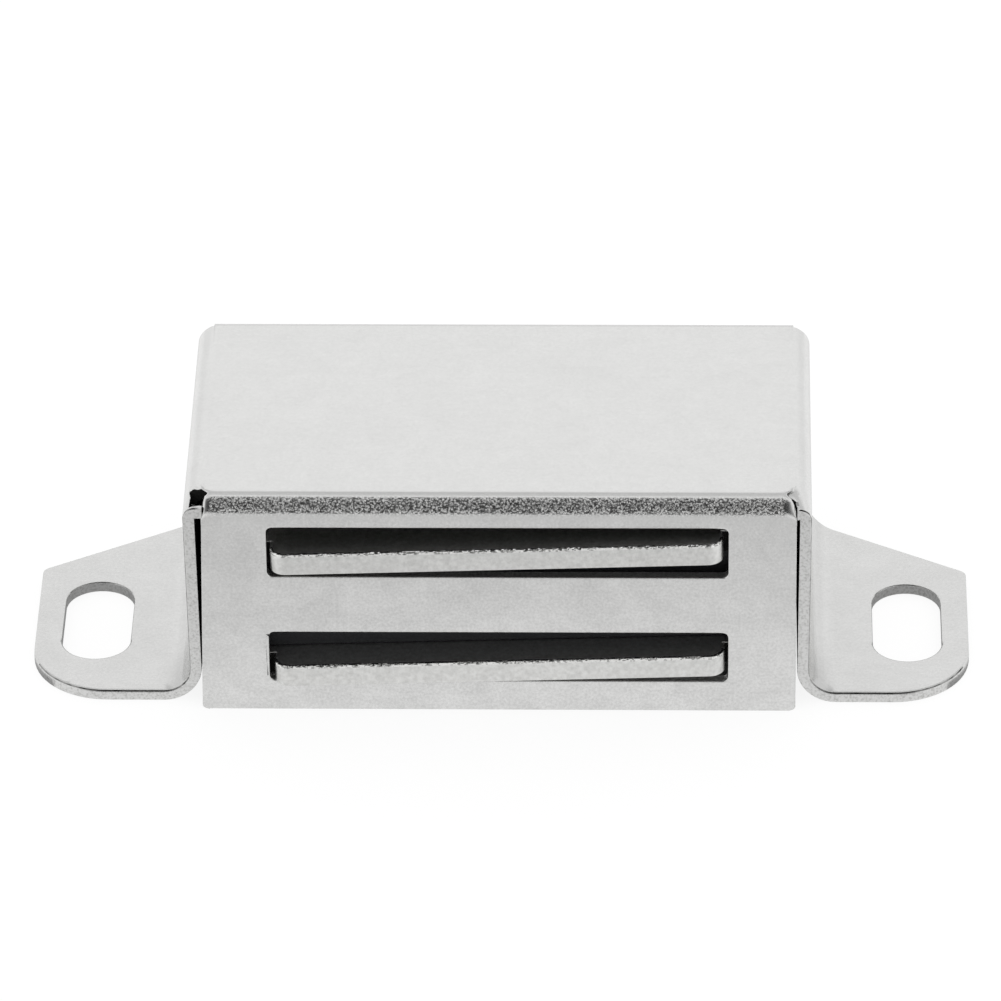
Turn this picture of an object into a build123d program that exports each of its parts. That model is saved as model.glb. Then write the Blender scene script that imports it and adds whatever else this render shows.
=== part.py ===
"""Magnetic door catch: one folded stainless sheet over a loose magnet pack.

Millimetres, +Z up, +Y to the rear. The origin is on the mounting plane, under the middle of the
overall box. X runs from ear to ear, and the poles look along -Y, towards the door.
"""

from build123d import *
from math import cos, radians, sin, tan
import os

# ---- Driving dimensions ------------------------------------------------------------------------
# Magnet pack: a ferrite block between two steel pole plates.
plate_thickness = 2.0
plate_width = 46.0
plate_depth = 26.4
plate_corner = 1.5
magnet_thickness = 9.25
magnet_inset = 1.0
magnet_edge = 0.5
nose_width = 38.1
nose_reach = 1.0
nose_corner = 1.3
nose_edge_roll = 0.25
pack_tilt = 1.8

# Running clearances between the pack and the housing.
nose_side_gap = 0.35
pack_float = 2.15
pack_front_gap = 0.2
pack_rear_gap = 0.8
pack_side_gap = 2.375
seat_gap = 0.03
plate_slide = 0.1

# Folded housing.
sheet = 1.0
bend_radius = 0.75
foot_radius = 2.3
wall_lean = 0.45
cover_rise = 2.65
flap_gap = 0.4
flap_lap = 0.5
flap_low_corner = 0.4
wall_edge_gap = 0.5
seam = 0.1
relief_width = 0.85
relief_length = 2.2
relief_bridge = 0.35

# Two long slots in the front flap, for the noses of the pole plates.
slot_height = 4.9
slot_sill = 2.95
slot_corner = 0.5

# Retaining lip, folded in under the pack at the foot of the rear flap.
lip_length = 4.0

# Ears with their screw slots.
screw_spacing = 69.5
screw_slot_width = 5.9
screw_slot_length = 11.7
screw_slot_y = -2.15
ear_end = 5.25
ear_tip_y = 5.7
ear_setback = 1.25
ear_front_corner = 6.6
ear_rear_corner = 0.8

# ---- Sizes that follow -------------------------------------------------------------------------
pack_height = magnet_thickness + 2 * plate_thickness
slot_width = nose_width + 2 * nose_side_gap
upper_slot_top = slot_sill + pack_height + pack_float
slot_centres = (slot_sill + slot_height / 2, upper_slot_top - slot_height / 2)
height = upper_slot_top + cover_rise

inner_width = plate_width + 2 * pack_side_gap
half_width = inner_width / 2 + sheet
flap_width = inner_width - 2 * flap_gap
ear_tip = screw_spacing / 2 + ear_end

inner_depth = pack_front_gap + plate_depth + pack_rear_gap
depth = inner_depth + 2 * sheet
front = -(depth - nose_reach) / 2
rear = front + depth
flap_back = front + sheet
ear_front = front + ear_setback
wall_rear = rear - sheet - wall_edge_gap

outer_bend = bend_radius + sheet
outer_foot = foot_radius + sheet
past = 10.0

# The pack leans on the left end of the lower slot's sill, seat_gap above it.
lean_drop = nose_width / 2 * sin(radians(pack_tilt))
pack_z = slot_sill + seat_gap + lean_drop + pack_height / 2 * cos(radians(pack_tilt))
plate_front = flap_back + pack_front_gap
plate_rear = plate_front + plate_depth


def rounded(face, corners):
    """A flat face with each named corner point rounded to its own radius."""
    for point, radius in corners:
        corner = face.vertices().sort_by_distance(point)[0]
        face = fillet(corner, radius)
    return face


def along_y(face, low, high):
    """A solid from a face drawn in the X-Z plane, between two stations along Y."""
    return Pos(0, low, 0) * extrude(face, amount=high - low, dir=(0, 1, 0))


def along_x(face, width):
    """A solid from a face drawn in the Y-Z plane, centred on X = 0."""
    return extrude(face, amount=width / 2, dir=(1, 0, 0), both=True)


def block(x, y, z):
    """A box between pairs of low and high limits."""
    size = (x[1] - x[0], y[1] - y[0], z[1] - z[0])
    middle = ((x[0] + x[1]) / 2, (y[0] + y[1]) / 2, (z[0] + z[1]) / 2)
    return Pos(*middle) * Box(*size)


def outside(z):
    """The right wall's outer face at a height: it leans in towards the ear."""
    return half_width - (height - outer_bend - z) * tan(radians(wall_lean))


def inside(z):
    """The right wall's inner face, one sheet behind the outer one."""
    return outside(z) - sheet / cos(radians(wall_lean))


def side_section():
    """Right half of the cross-section: top plate, leaning side wall and ear."""

    under = height - sheet
    outer_knee = (outside(height), height)
    outer_heel = (outside(sheet), sheet)
    inner_heel = (inside(0), 0)
    inner_knee = (inside(under), under)
    outline = Polyline(
        (0, height), outer_knee, outer_heel, (ear_tip, sheet), (ear_tip, 0),
        inner_heel, inner_knee, (0, under), close=True,
    )
    corners = (
        (outer_knee, outer_bend),
        (inner_knee, bend_radius),
        (outer_heel, foot_radius),
        (inner_heel, outer_foot),
    )
    return rounded(make_face(outline), [((x, z, 0), radius) for (x, z), radius in corners])


def plan_outline():
    """Right half of the plan: straight over the housing, set back and tapering along the ear."""
    front_tip = (ear_tip, ear_front)
    rear_tip = (ear_tip, ear_tip_y)
    outline = Polyline(
        (0, front), (half_width, front), (half_width, ear_front), front_tip,
        rear_tip, (half_width, wall_rear), (0, wall_rear), close=True,
    )
    corners = (((*front_tip, 0), ear_front_corner), ((*rear_tip, 0), ear_rear_corner))
    return rounded(make_face(outline), corners)


def front_trim():
    """What the walls' front edges lose: flush with the flap above, set back at the ears."""
    outline = Polyline(
        (front - past, -past), (ear_front, -past), (ear_front, outer_foot),
        (front, height - outer_bend), (front - past, height - outer_bend), close=True,
    )
    return along_x(Plane.YZ * make_face(outline), 2 * (ear_tip + past))


def top_and_sides():
    """Top plate, side walls and ears, folded from one strip."""
    right = along_y(Plane.XZ * side_section(), front, wall_rear)
    right &= extrude(plan_outline(), amount=height + past)
    slot = SlotOverall(screw_slot_length, screw_slot_width, rotation=90)
    drill = extrude(Pos(screw_spacing / 2, screw_slot_y, 0) * slot, amount=sheet + past, both=True)
    right -= drill
    right -= front_trim()
    return right + mirror(right, about=Plane.YZ)


def bend_clearance(edge, direction, beside):
    """Room for a flap's bend at the front or rear edge, and so much more beside each end."""
    half = flap_width / 2 + beside
    limits = sorted((edge - past * direction, edge + outer_bend * direction))
    return block((-half, half), limits, (-past, height + past))


def cover_view():
    """Front view of the cover, filled in, its upper corners those of the side bends."""
    low, high = (outside(0), 0), (outside(height), height)
    outline = Polyline((-low[0], 0), low, high, (-high[0], height), close=True)
    corners = [((side * high[0], height, 0), outer_bend) for side in (-1, 1)]
    return rounded(make_face(outline), corners)


def flap_view(start, end):
    """Room for a flap between two stations along Y, no wider or higher than the cover."""
    width = flap_width / 2
    outline = Polyline((-width, 0), (width, 0), (width, height), (-width, height), close=True)
    corners = [((side * width, 0, 0), flap_low_corner) for side in (-1, 1)]
    room = along_y(Plane.XZ * rounded(make_face(outline), corners), start, end)
    return room & along_y(Plane.XZ * cover_view(), start, end)


def nose_slots():
    """Both nose slots, as cutters through the front flap."""
    window = RectangleRounded(slot_width, slot_height, slot_corner)
    cutters = Part()
    for z in slot_centres:
        cutters += along_y(Plane.XZ * (Pos(0, z) * window), front - past, flap_back + sheet)
    return cutters


def front_flap():
    """Front flap: bent down from the top plate to the mounting plane."""
    join, under = front + outer_bend + flap_lap, height - sheet
    outline = Polyline(
        (join, height), (front, height), (front, 0), (flap_back, 0),
        (flap_back, under), (join, under), close=True,
    )
    corners = (((front, height, 0), outer_bend), ((flap_back, under, 0), bend_radius))
    bent = along_x(Plane.YZ * rounded(make_face(outline), corners), flap_width)
    bent &= flap_view(front - past, join + past)
    return bent - nose_slots()


def rear_flap():
    """Rear flap: bent down like the front one, and folded in below the pack as a lip."""
    join, under, inner = rear - outer_bend - flap_lap, height - sheet, rear - sheet
    lip_foot = slot_sill - sheet
    end = rear - lip_length
    hem = lip_foot + outer_bend
    plain = Polyline(
        (join, height), (rear, height), (rear, hem), (inner, hem),
        (inner, under), (join, under), close=True,
    )
    top_bend = [((rear, height, 0), outer_bend), ((inner, under, 0), bend_radius)]
    flap = along_x(Plane.YZ * rounded(make_face(plain), top_bend), flap_width)
    flap &= flap_view(join - past, rear + past)
    hook = Polyline(
        (rear, hem + sheet), (rear, lip_foot), (end, lip_foot), (end, slot_sill),
        (inner, slot_sill), (inner, hem + sheet), close=True,
    )
    lip_bend = [((rear, lip_foot, 0), outer_bend), ((inner, slot_sill, 0), bend_radius)]
    lip = along_x(Plane.YZ * rounded(make_face(hook), lip_bend), nose_width)
    return flap + lip


def open_relief():
    """Relief at the left front corner, which the fold left open behind a narrow bridge."""
    outer = -flap_width / 2 - relief_width
    start = front + relief_bridge
    depth_limits = (start, start + relief_length)
    return block((outer, -flap_width / 2), depth_limits, (height - outer_bend, height + past))


def make_housing():
    """The whole housing, one folded sheet."""
    body = top_and_sides()
    body -= bend_clearance(front, 1, seam)
    body -= bend_clearance(rear, -1, 0)
    body -= open_relief()
    return body + front_flap() + rear_flap()


def plate_plan():
    """Plan of a pole plate: a wide body behind the front flap and a nose through its slot."""
    nose_tip = front - nose_reach
    half_nose, half_body = nose_width / 2, plate_width / 2
    outline = Polyline(
        (-half_nose, nose_tip), (half_nose, nose_tip), (half_nose, plate_front),
        (half_body, plate_front), (half_body, plate_rear), (-half_body, plate_rear),
        (-half_body, plate_front), (-half_nose, plate_front), close=True,
    )
    corners = []
    for side in (-1, 1):
        corners.append(((side * half_nose, nose_tip, 0), nose_corner))
        corners.append(((side * half_body, plate_front, 0), plate_corner))
        corners.append(((side * half_body, plate_rear, 0), plate_corner))
    return rounded(make_face(outline), corners)


def pole_plate(low):
    """A stamped pole plate, its upper nose edge rolled by the die."""
    plate = Pos(0, 0, low) * extrude(plate_plan(), amount=plate_thickness)
    upper = plate.edges().group_by(Axis.Z)[-1]
    nose = [edge for edge in upper if edge.center().Y < front]
    return fillet(nose, nose_edge_roll)


def magnet_block():
    """The ferrite block, inset from the plates on every side, its edges ground off."""
    width, length = plate_width - 2 * magnet_inset, plate_depth - 2 * magnet_inset
    middle = (plate_front + plate_rear) / 2
    solid = Pos(0, middle, 0) * Box(width, length, magnet_thickness)
    return chamfer(solid.edges().filter_by(Axis.Z), magnet_edge)


def at_rest(pack_piece, slide=0.0):
    """A pack piece drawn level, slid along the pack and moved to where the pack rests."""
    return Pos(0, 0, pack_z) * Rot(0, -pack_tilt, 0) * Pos(slide, 0, 0) * pack_piece


nodes = {
    "housing": make_housing(),
    "magnet": at_rest(magnet_block()),
    "upper_pole_plate": at_rest(pole_plate(magnet_thickness / 2), plate_slide),
    "lower_pole_plate": at_rest(pole_plate(-magnet_thickness / 2 - plate_thickness), -plate_slide),
}

os.makedirs("parts", exist_ok=True)
for name, shape in nodes.items():
    export_step(shape, f"parts/{name}.step")
    print(name, "volume", round(shape.volume, 1))
print("pack centre height", round(pack_z, 4), "height", height, "depth", depth, "front", front)
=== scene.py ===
"""Looks of a magnetic door catch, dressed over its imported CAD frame.

A folded stainless housing holds a loose pack: a ferrite block between two steel pole plates.
The pieces are remeshed from the frame with broken edges, finished, and set on a pale floor.
"""

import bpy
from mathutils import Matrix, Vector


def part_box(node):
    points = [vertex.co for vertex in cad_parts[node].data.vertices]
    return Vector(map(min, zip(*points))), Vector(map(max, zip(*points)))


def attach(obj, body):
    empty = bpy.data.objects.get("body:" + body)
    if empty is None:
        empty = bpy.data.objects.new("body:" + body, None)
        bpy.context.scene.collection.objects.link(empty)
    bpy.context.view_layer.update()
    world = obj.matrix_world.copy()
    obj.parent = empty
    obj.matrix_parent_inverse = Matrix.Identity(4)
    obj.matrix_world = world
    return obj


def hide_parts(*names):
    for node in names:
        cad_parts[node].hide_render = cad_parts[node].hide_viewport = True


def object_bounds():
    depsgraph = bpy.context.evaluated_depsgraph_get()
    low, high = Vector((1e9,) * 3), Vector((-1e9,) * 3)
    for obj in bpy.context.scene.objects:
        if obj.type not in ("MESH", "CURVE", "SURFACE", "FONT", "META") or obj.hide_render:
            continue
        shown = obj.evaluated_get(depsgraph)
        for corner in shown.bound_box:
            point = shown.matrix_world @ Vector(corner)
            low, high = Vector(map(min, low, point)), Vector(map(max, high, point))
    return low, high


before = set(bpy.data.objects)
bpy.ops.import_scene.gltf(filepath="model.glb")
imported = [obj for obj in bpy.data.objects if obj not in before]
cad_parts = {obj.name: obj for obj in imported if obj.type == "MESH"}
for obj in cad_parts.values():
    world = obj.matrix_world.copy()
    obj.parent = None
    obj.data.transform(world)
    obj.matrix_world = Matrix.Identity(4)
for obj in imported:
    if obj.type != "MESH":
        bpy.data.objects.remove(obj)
CAD_BOX = [list(corner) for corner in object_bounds()]

import logging
import math
from dataclasses import dataclass, field
from enum import Enum

import bmesh
import bpy
from mathutils import Matrix, Vector, noise

MM = 0.001
# Distances in metres that count as none, and as touching.
HAIR = 1e-6
TOUCH = 1e-5
CRISP = math.radians(38)
# How much more the wide faces count in the shading than the narrow rolls beside them.
FLAT_WEIGHT = 60
WHITE = "ffffff"

log = logging.getLogger("catch")
logging.basicConfig(level=logging.INFO, format="%(name)s: %(message)s")


class Body(Enum):
    """CAD bodies that a piece can ride on."""

    HOUSING = "housing"
    PACK = "magnet_pack"


class Slot(Enum):
    """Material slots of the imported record."""

    STAINLESS = "stainless_sheet"
    POLE_STEEL = "pole_steel"
    FERRITE = "ferrite"


class SheetFinish(Enum):
    """Finishes of the housing's faces, by the number of their material."""

    ROLLED = 0
    SHEARED = 1
    # Black paint for painted shade.
    PAINTED_SHADE = 2
    # Rolls painted dark: painted shade for the dark that they mirror.
    PAINTED_DARK_ROLL = 3


def linear(code: str) -> tuple[float, float, float, float]:
    """Turns an sRGB hex colour into linear RGBA.

    Args:
        code: six hex digits, such as "c8c8c6".

    Returns:
        The linear red, green and blue, and an alpha of 1.
    """
    channels = [int(code[i:i + 2], 16) / 255 for i in (0, 2, 4)]
    flat = [c / 12.92 if c <= 0.04045 else ((c + 0.055) / 1.055) ** 2.4 for c in channels]
    return (*flat, 1.0)


def per_metre(size_mm: float) -> float:
    """Texture scale that makes one feature of a pattern this many millimetres wide."""
    return 1.0 / (size_mm * MM)


def clamped(value: float) -> float:
    """Keeps a share between 0 and 1."""
    return max(0.0, min(1.0, value))


def add_node(
    tree: bpy.types.NodeTree, kind: str, settings: dict | None = None, **inputs
) -> bpy.types.Node:
    """Adds a shader node, sets its properties and fills or links its inputs.

    Args:
        tree: the node tree that gets the node.
        kind: the node's type name without its ShaderNode prefix.
        settings: properties of the node itself.
        **inputs: values or output sockets by input name, with spaces as underscores;
            a name such as in_0 picks an input by its number.

    Returns:
        The new node.
    """
    node = tree.nodes.new("ShaderNode" + kind)
    for name, value in (settings or {}).items():
        setattr(node, name, value)
    for name, value in inputs.items():
        number = name.removeprefix("in_")
        key = int(number) if number.isdigit() else name.replace("_", " ")
        socket = node.inputs[key]
        if isinstance(value, bpy.types.NodeSocket):
            tree.links.new(value, socket)
        else:
            socket.default_value = value
    return node


def new_material(name: str) -> tuple[bpy.types.Material, bpy.types.NodeTree]:
    """Makes an empty node material and returns it with its tree."""
    material = bpy.data.materials.new(name)
    material.use_nodes = True
    material.node_tree.nodes.clear()
    return material, material.node_tree


def ramp_stops(node: bpy.types.Node, stops: list[tuple[float, float]]) -> None:
    """Sets a colour ramp's stops to greys.

    Args:
        node: the colour ramp node.
        stops: (place, grey) pairs in rising order of place.
    """
    elements = node.color_ramp.elements
    while len(elements) < len(stops):
        elements.new(1.0)
    for element, (place, grey) in zip(elements, stops):
        element.position = place
        element.color = (grey, grey, grey, 1.0)


@dataclass(frozen=True)
class ColdRolledStainless:
    """Cold-rolled stainless sheet with a 2B mill finish, folded in a press.

    It gives a soft silvery face with a faint mottle and fine speckle, and a coarse bright and
    dark sparkle along the outside of each folded edge, where the stretched grain opens up.
    """

    name: str = "cold_rolled_stainless_2b"
    colour: str = "efefee"
    # Also the colour of the painted shade in the heel of the foot bend.
    dull_colour: str = "cdcdcc"
    pit_colour: str = "60605f"
    roughness: float = 0.25
    bend_roughness: float = 0.14

    # Smears of handling are a few millimetres wide. The speckle and streaks of real rolled sheet
    # and the grain of its bends are some 0.02 to 0.1 mm wide, and are drawn coarser to show.
    smear_mm: float = 3.4
    speckle_mm: float = 0.24
    streak_mm: float = 0.4
    streak_stretch: float = 0.12
    grain_depth_mm: float = 0.012
    bend_grain_mm: float = 0.17
    bend_depth_mm: float = 0.12
    pit_levels: tuple[float, float] = (0.56, 0.42)

    # How dull each mark, and the sheet under them, makes a place, and how dark the ears and the
    # painted shade in the heel make it.
    smear_weight: float = 1.1
    speckle_weight: float = 1.3
    streak_weight: float = 0.3
    base_dullness: float = 0.3
    ear_darkening: float = 0.2
    heel_painted_shade: float = 0.5

    # The ears are darker below a set height, and the heel of the foot bend gets painted shade,
    # deepest low in its crease near the front. Each pair of places is where the darkening starts
    # and where it is full.
    beside_mm: tuple[float, float] = (25.2, 25.4)
    ear_heights_mm: tuple[float, float] = (2.6, 1.4)
    heel_across_mm: tuple[float, float] = (28.8, 27.4)
    heel_heights_mm: tuple[float, float] = (5.5, 1.6)
    heel_along_mm: tuple[float, float] = (-6.0, -12.5)

    def dullness_and_shade(
        self, tree: bpy.types.NodeTree, place: bpy.types.NodeSocket
    ) -> bpy.types.NodeSocket:
        """Says how dull the sheet is, how dark the ears are and how deep the painted shade in the
        foot bend's heel is at each place.

        Args:
            tree: the material's node tree.
            place: the object coordinates.

        Returns:
            The dullness, with the ears' darkening and the painted heel shade, from 0 to 1.
        """
        axes = add_node(tree, "SeparateXYZ", Vector=place).outputs
        aside = add_node(tree, "Math", {"operation": "ABSOLUTE"}, in_0=axes["X"]).outputs[0]
        beside = add_node(
            tree, "MapRange", Value=aside, From_Min=self.beside_mm[0] * MM,
            From_Max=self.beside_mm[1] * MM,
        ).outputs["Result"]
        ears = add_node(
            tree, "MapRange", Value=axes["Z"], From_Min=self.ear_heights_mm[0] * MM,
            From_Max=self.ear_heights_mm[1] * MM, To_Max=self.ear_darkening,
        ).outputs["Result"]
        limits = (
            (aside, self.heel_across_mm), (axes["Z"], self.heel_heights_mm),
            (axes["Y"], self.heel_along_mm),
        )
        # Painted shade in the crease of the foot bend's heel.
        heel_shade: bpy.types.NodeSocket | float = self.heel_painted_shade
        for value, (start, full) in limits:
            near = add_node(
                tree, "MapRange", {"interpolation_type": "SMOOTHSTEP"}, Value=value,
                From_Min=start * MM, From_Max=full * MM,
            ).outputs["Result"]
            heel_shade = add_node(
                tree, "Math", {"operation": "MULTIPLY"}, in_0=heel_shade, in_1=near,
            ).outputs[0]
        ears_and_heel = add_node(tree, "Math", {"operation": "ADD"}, in_0=ears, in_1=heel_shade).outputs[0]
        return add_node(
            tree, "Math", {"operation": "MULTIPLY_ADD"}, in_0=ears_and_heel, in_1=beside,
            in_2=self.base_dullness,
        ).outputs[0]

    def make(self) -> bpy.types.Material:
        """Builds the node material and returns it."""
        material, tree = new_material(self.name)
        place = add_node(tree, "TexCoord").outputs["Object"]
        strain = add_node(tree, "Attribute", {"attribute_name": "strain"}).outputs["Fac"]
        wear = add_node(tree, "Attribute", {"attribute_name": "wear"}).outputs["Fac"]
        smear = add_node(
            tree, "TexNoise", Vector=place, Scale=per_metre(self.smear_mm), Detail=6.0,
            Roughness=0.62, Distortion=0.6,
        ).outputs["Fac"]
        speckle = add_node(
            tree, "TexNoise", Vector=place, Scale=per_metre(self.speckle_mm), Detail=3.0,
        ).outputs["Fac"]
        # Faint rolling marks: the same noise drawn out along the housing.
        drawn = add_node(
            tree, "Mapping", Vector=place, Scale=(self.streak_stretch, 1.0, 1.0),
        ).outputs["Vector"]
        streak = add_node(
            tree, "TexNoise", Vector=drawn, Scale=per_metre(self.streak_mm), Detail=3.0,
        ).outputs["Fac"]
        # The three marks count about their middle value, and more where the sheet is worn.
        marks: bpy.types.NodeSocket | float = 0.0
        weights = (self.smear_weight, self.speckle_weight, self.streak_weight)
        for value, weight in zip((smear, speckle, streak), weights):
            centred = add_node(
                tree, "Math", {"operation": "SUBTRACT"}, in_0=value, in_1=0.5,
            ).outputs[0]
            marks = add_node(
                tree, "Math", {"operation": "MULTIPLY_ADD"}, in_0=centred, in_1=weight, in_2=marks,
            ).outputs[0]
        dull_and_shade = add_node(
            tree, "Math", {"operation": "MULTIPLY_ADD"}, in_0=marks, in_1=wear,
            in_2=self.dullness_and_shade(tree, place),
        ).outputs[0]
        tone = add_node(
            tree, "MixRGB", Fac=dull_and_shade, Color1=linear(self.colour), Color2=linear(self.dull_colour),
        ).outputs["Color"]
        rough = add_node(
            tree, "MapRange", Value=strain, To_Min=self.roughness, To_Max=self.bend_roughness,
        ).outputs["Result"]
        open_grain = add_node(
            tree, "TexNoise", Vector=place, Scale=per_metre(self.bend_grain_mm), Detail=2.0,
        ).outputs["Fac"]
        pits = add_node(
            tree, "MapRange", Value=open_grain, From_Min=self.pit_levels[0],
            From_Max=self.pit_levels[1],
        ).outputs["Result"]
        pits = add_node(
            tree, "Math", {"operation": "MULTIPLY"}, in_0=pits, in_1=strain,
        ).outputs[0]
        tone = add_node(
            tree, "MixRGB", Fac=pits, Color1=tone, Color2=linear(self.pit_colour),
        ).outputs["Color"]
        fine = add_node(
            tree, "Bump", Strength=wear, Distance=self.grain_depth_mm * MM, Height=speckle,
        ).outputs["Normal"]
        coarse = add_node(
            tree, "Bump", Strength=strain, Distance=self.bend_depth_mm * MM, Height=open_grain,
            Normal=fine,
        ).outputs["Normal"]
        shader = add_node(
            tree, "BsdfPrincipled", Metallic=1.0, Base_Color=tone, Roughness=rough, Normal=coarse,
        )
        add_node(tree, "OutputMaterial", Surface=shader.outputs["BSDF"])
        return material


@dataclass(frozen=True)
class ShearedEdge:
    """Cut face of the stainless sheet, left by the blanking die.

    It gives a greyer, grittier edge, with pits where the metal tore.
    """

    name: str = "sheared_stainless_edge"
    colour: str = "e6e6e5"
    torn_colour: str = "c6c6c4"
    roughness: float = 0.36
    # Real pits are some 0.05 mm wide, and are drawn coarser to show.
    tear_mm: float = 0.22
    tear_depth_mm: float = 0.012
    torn_levels: tuple[float, float] = (0.3, 0.55)

    def make(self) -> bpy.types.Material:
        """Builds the node material and returns it."""
        material, tree = new_material(self.name)
        place = add_node(tree, "TexCoord").outputs["Object"]
        tear = add_node(
            tree, "TexNoise", Vector=place, Scale=per_metre(self.tear_mm), Detail=4.0,
        ).outputs["Fac"]
        torn = add_node(tree, "ValToRGB", Fac=tear)
        ramp_stops(torn, [(self.torn_levels[0], 0.0), (self.torn_levels[1], 1.0)])
        tone = add_node(
            tree, "MixRGB", Fac=torn.outputs["Color"], Color1=linear(self.torn_colour),
            Color2=linear(self.colour),
        ).outputs["Color"]
        bump = add_node(
            tree, "Bump", Strength=1.0, Distance=self.tear_depth_mm * MM, Height=tear,
        ).outputs["Normal"]
        shader = add_node(
            tree, "BsdfPrincipled", Metallic=1.0, Base_Color=tone, Roughness=self.roughness,
            Normal=bump,
        )
        add_node(tree, "OutputMaterial", Surface=shader.outputs["BSDF"])
        return material


@dataclass(frozen=True)
class PaintedShade:
    """Painted shade: black paint where two pieces or folds of sheet lie close together.

    It paints shade into the notch at the housing's corner, the seams and the gaps beside the flap,
    which are black from shade alone.
    """

    name: str = "painted_shade_in_reliefs"
    colour: str = "0c0c0c"
    fleck_colour: str = "2c2c2b"
    roughness: float = 0.7
    gloss: float = 0.0
    fleck_mm: float = 0.2

    def make(self) -> bpy.types.Material:
        """Builds the node material and returns it."""
        material, tree = new_material(self.name)
        place = add_node(tree, "TexCoord").outputs["Object"]
        fleck = add_node(
            tree, "TexNoise", Vector=place, Scale=per_metre(self.fleck_mm), Detail=2.0,
        ).outputs["Fac"]
        tone = add_node(
            tree, "MixRGB", Fac=fleck, Color1=linear(self.colour), Color2=linear(self.fleck_colour),
        ).outputs["Color"]
        shader = add_node(
            tree, "BsdfPrincipled", Base_Color=tone, Roughness=self.roughness,
            Specular_IOR_Level=self.gloss,
        )
        add_node(tree, "OutputMaterial", Surface=shader.outputs["BSDF"])
        return material


@dataclass(frozen=True)
class StampedPoleSteel:
    """Mild steel plate, blanked in a die and dull-plated.

    It gives a rougher face than the housing, with a fine grit.
    """

    name: str = "plated_mild_steel"
    colour: str = "f2f2f0"
    dull_colour: str = "d8d8d6"
    roughness: float = 0.34
    # Grit of plating is some 0.05 mm wide, and is drawn coarser to show.
    mottle_mm: float = 0.35
    mottle_levels: tuple[float, float] = (0.25, 0.7)
    grain_mm: float = 0.16
    grain_depth_mm: float = 0.012

    def make(self) -> bpy.types.Material:
        """Builds the node material and returns it."""
        material, tree = new_material(self.name)
        place = add_node(tree, "TexCoord").outputs["Object"]
        mottle = add_node(
            tree, "TexNoise", Vector=place, Scale=per_metre(self.mottle_mm), Detail=4.0,
        ).outputs["Fac"]
        bright = add_node(
            tree, "MapRange", Value=mottle, From_Min=self.mottle_levels[0],
            From_Max=self.mottle_levels[1],
        ).outputs["Result"]
        tone = add_node(
            tree, "MixRGB", Fac=bright, Color1=linear(self.dull_colour), Color2=linear(self.colour),
        ).outputs["Color"]
        grain = add_node(
            tree, "TexNoise", Vector=place, Scale=per_metre(self.grain_mm), Detail=3.0,
        ).outputs["Fac"]
        bump = add_node(
            tree, "Bump", Strength=1.0, Distance=self.grain_depth_mm * MM, Height=grain,
        ).outputs["Normal"]
        shader = add_node(
            tree, "BsdfPrincipled", Metallic=1.0, Base_Color=tone, Roughness=self.roughness,
            Normal=bump,
        )
        add_node(tree, "OutputMaterial", Surface=shader.outputs["BSDF"])
        return material


@dataclass(frozen=True)
class TornBurr:
    """Bright torn metal along the upper edge of each pole plate's nose.

    It gives a broken line of glints and dark nicks.
    """

    name: str = "torn_steel_burr"
    colour: str = "f4f4f2"
    nick_colour: str = "a8a8a6"
    roughness: float = 0.17
    nick_mm: float = 0.3
    nick_levels: tuple[float, float] = (0.38, 0.5)

    def make(self) -> bpy.types.Material:
        """Builds the node material and returns it."""
        material, tree = new_material(self.name)
        place = add_node(tree, "TexCoord").outputs["Object"]
        nick = add_node(
            tree, "TexNoise", Vector=place, Scale=per_metre(self.nick_mm), Detail=3.0,
        ).outputs["Fac"]
        steps = add_node(tree, "ValToRGB", Fac=nick)
        ramp_stops(steps, [(self.nick_levels[0], 0.0), (self.nick_levels[1], 1.0)])
        tone = add_node(
            tree, "MixRGB", Fac=steps.outputs["Color"], Color1=linear(self.nick_colour),
            Color2=linear(self.colour),
        ).outputs["Color"]
        shader = add_node(
            tree, "BsdfPrincipled", Metallic=1.0, Base_Color=tone, Roughness=self.roughness,
        )
        add_node(tree, "OutputMaterial", Surface=shader.outputs["BSDF"])
        return material


@dataclass(frozen=True)
class SinteredFerrite:
    """Sintered ferrite, pressed, fired and ground.

    It gives a dull charcoal block with pale grinding dust in its pores.
    """

    name: str = "sintered_ferrite"
    colour: str = "16171a"
    dust_colour: str = "28292c"
    roughness: float = 0.62
    # Pores are under 0.1 mm wide, and are drawn coarser to show.
    pore_mm: float = 0.35
    pore_depth_mm: float = 0.03
    pore_strength: float = 0.6

    def make(self) -> bpy.types.Material:
        """Builds the node material and returns it."""
        material, tree = new_material(self.name)
        place = add_node(tree, "TexCoord").outputs["Object"]
        pores = add_node(
            tree, "TexNoise", Vector=place, Scale=per_metre(self.pore_mm), Detail=4.0,
        ).outputs["Fac"]
        tone = add_node(
            tree, "MixRGB", Fac=pores, Color1=linear(self.colour), Color2=linear(self.dust_colour),
        ).outputs["Color"]
        bump = add_node(
            tree, "Bump", Strength=self.pore_strength, Distance=self.pore_depth_mm * MM,
            Height=pores,
        ).outputs["Normal"]
        shader = add_node(
            tree, "BsdfPrincipled", Base_Color=tone, Roughness=self.roughness, Normal=bump,
        )
        add_node(tree, "OutputMaterial", Surface=shader.outputs["BSDF"])
        return material


def interpolate(path: tuple[tuple[float, float], ...], place: float) -> float:
    """Reads a value off a path of (place, value) points, level beyond its ends."""
    for (start, first), (end, last) in zip(path, path[1:]):
        if start <= place <= end:
            return first + (last - first) * (place - start) / (end - start)
    return path[0][1] if place < path[0][0] else path[-1][1]


def link_object(name: str, data: bpy.types.ID) -> bpy.types.Object:
    """Makes an object of a mesh or a camera and links it to the scene."""
    made = bpy.data.objects.new(name, data)
    bpy.context.scene.collection.objects.link(made)
    return made


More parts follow.
